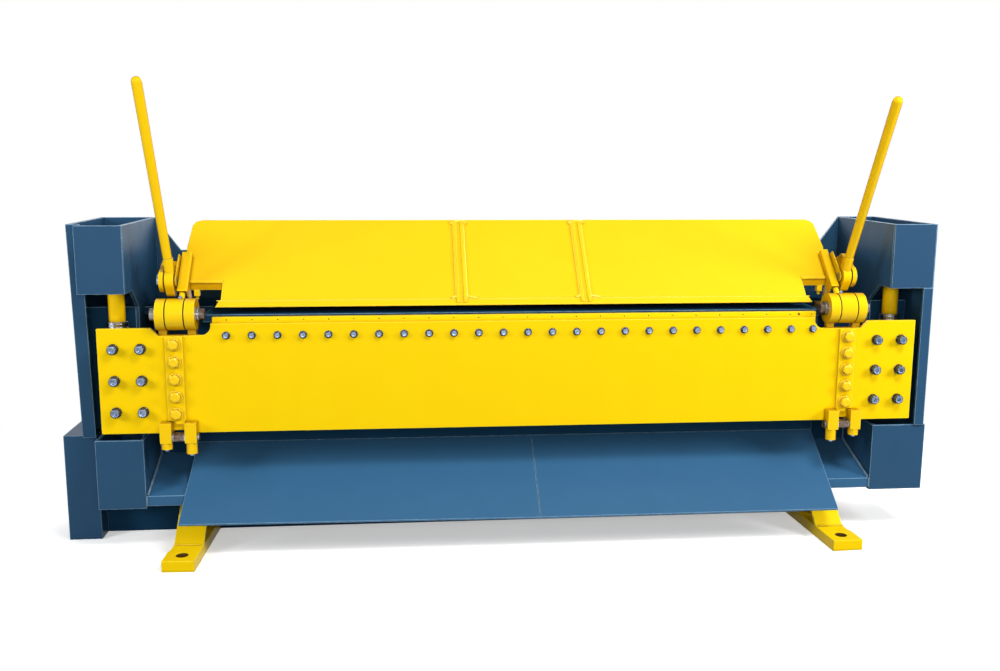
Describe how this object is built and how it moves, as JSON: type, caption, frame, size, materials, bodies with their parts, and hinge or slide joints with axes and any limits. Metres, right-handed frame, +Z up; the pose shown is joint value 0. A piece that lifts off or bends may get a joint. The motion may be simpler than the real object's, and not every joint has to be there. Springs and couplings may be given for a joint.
{
  "type": "sheet metal folding machine",
  "caption": "Floor standing sheet metal folding machine: hinged folding leaf, wedge clamp beam drawn down by hand levers, side stands with hydraulic cylinders, chute and bolted feet.",
  "frame": {"origin": "on the floor, midway between the two bolt holes of the feet", "axes": "+X to the right along the machine, +Y away from the operator, +Z up"},
  "size_m": [3.682, 0.8599, 1.9078],
  "materials": {
    "yellow_paint": "glossy yellow enamel",
    "blue_paint": "satin blue enamel",
    "bright_steel": "bright zinc plated or turned steel",
    "greased_steel": "turned steel with a brown film of grease"
  },
  "bodies": {
    "frame": {"bed_front_web": "blue_paint", "bed_rear_web": "blue_paint", "bed_ribs": "blue_paint", "bed_top_plate": "blue_paint", "bed_wall": "blue_paint", "fixed_knuckles": "yellow_paint", "floor_beam": "blue_paint", "grease_caps": "bright_steel", "left_chute_panel": "blue_paint", "left_foot": "yellow_paint", "left_lower_box": "blue_paint", "left_pedestal": "blue_paint", "left_stand_outer_plate": "blue_paint", "rear_tie_plate": "blue_paint", "right_chute_panel": "blue_paint", "right_foot": "yellow_paint", "right_lower_box": "blue_paint", "right_stand_outer_plate": "blue_paint", "side_aprons": "blue_paint", "stand_back_plates": "blue_paint", "stand_inner_plates": "blue_paint", "stand_upper_fronts": "blue_paint", "throat_plates": "blue_paint", "tie_rods": "yellow_paint", "trunnion_brackets": "blue_paint"},
    "folding_leaf": {"adjuster_blocks": "yellow_paint", "adjuster_pins": "greased_steel", "adjuster_screws": "bright_steel", "hinge_pins": "greased_steel", "leaf_bar_bolts": "bright_steel", "leaf_end_blocks": "yellow_paint", "leaf_end_bolts": "bright_steel", "leaf_hinge_bolts": "yellow_paint", "leaf_hinges": "yellow_paint", "leaf_plate": "yellow_paint", "leaf_stiffener": "yellow_paint", "leaf_straps": "yellow_paint", "leaf_top_bar": "yellow_paint", "leaf_washers": "bright_steel", "lug_pins": "bright_steel"},
    "clamp_beam": {"beam_back_plate": "yellow_paint", "beam_bottom_plate": "yellow_paint", "beam_end_caps": "yellow_paint", "beam_end_webs": "yellow_paint", "beam_face_plate": "yellow_paint", "beam_nose_bar": "yellow_paint", "beam_ribs": "yellow_paint", "beam_stop_screws": "yellow_paint", "face_ribs": "yellow_paint", "lever_brackets": "yellow_paint", "lever_pivot_bolts": "bright_steel", "rod_guides": "yellow_paint"},
    "left_hand_lever": {"left_lever": "yellow_paint"},
    "right_hand_lever": {"right_lever": "yellow_paint"},
    "left_ram_rod": {"left_piston_rod": "bright_steel"},
    "right_ram_rod": {"right_piston_rod": "bright_steel"},
    "left_ram_tube": {"left_cylinder": "yellow_paint", "left_gland": "bright_steel"},
    "right_ram_tube": {"right_cylinder": "yellow_paint", "right_gland": "bright_steel"}
  },
  "joints": [
    {"name": "leaf_fold", "type": "hinge", "parent": "frame", "child": "folding_leaf", "pos_m": [0.01125, 0.192, 0.987], "axis": [-1, 0, 0], "range_deg": [0, 90]},
    {"name": "beam_clamp", "type": "slide", "parent": "frame", "child": "clamp_beam", "axis": [0, -0.7071, -0.7071], "range_m": [0, 0.038]},
    {"name": "left_lever_turn", "type": "hinge", "parent": "clamp_beam", "child": "left_hand_lever", "pos_m": [-1.41025, 0.26981, 1.11495], "axis": [1, 0, 0], "range_deg": [0, 60]},
    {"name": "right_lever_turn", "type": "hinge", "parent": "clamp_beam", "child": "right_hand_lever", "pos_m": [1.42325, 0.26981, 1.11495], "axis": [1, 0, 0], "range_deg": [0, 60]},
    {"name": "left_ram_swing", "type": "hinge", "parent": "folding_leaf", "child": "left_ram_rod", "pos_m": [-1.64275, 0.322, 0.888], "axis": [-1, 0, 0], "range_deg": [-48.2, 0]},
    {"name": "right_ram_swing", "type": "hinge", "parent": "folding_leaf", "child": "right_ram_rod", "pos_m": [1.66525, 0.322, 0.888], "axis": [-1, 0, 0], "range_deg": [-48.2, 0]},
    {"name": "left_ram_stroke", "type": "slide", "parent": "left_ram_rod", "child": "left_ram_tube", "axis": [0, 0, 1], "range_m": [0, 0.1198]},
    {"name": "right_ram_stroke", "type": "slide", "parent": "right_ram_rod", "child": "right_ram_tube", "axis": [0, 0, 1], "range_m": [0, 0.1198]}
  ],
  "couplings": [
    {"joint": "left_lever_turn", "follows": "beam_clamp", "rad_per_m": 27.553},
    {"joint": "right_lever_turn", "follows": "beam_clamp", "rad_per_m": 27.553},
    {"joint": "left_ram_swing", "follows": "leaf_fold", "ratio": -0.53167},
    {"joint": "right_ram_swing", "follows": "leaf_fold", "ratio": -0.53167},
    {"joint": "left_ram_stroke", "follows": "leaf_fold", "m_per_rad": 0.07592},
    {"joint": "right_ram_stroke", "follows": "leaf_fold", "m_per_rad": 0.07592}
  ]
}
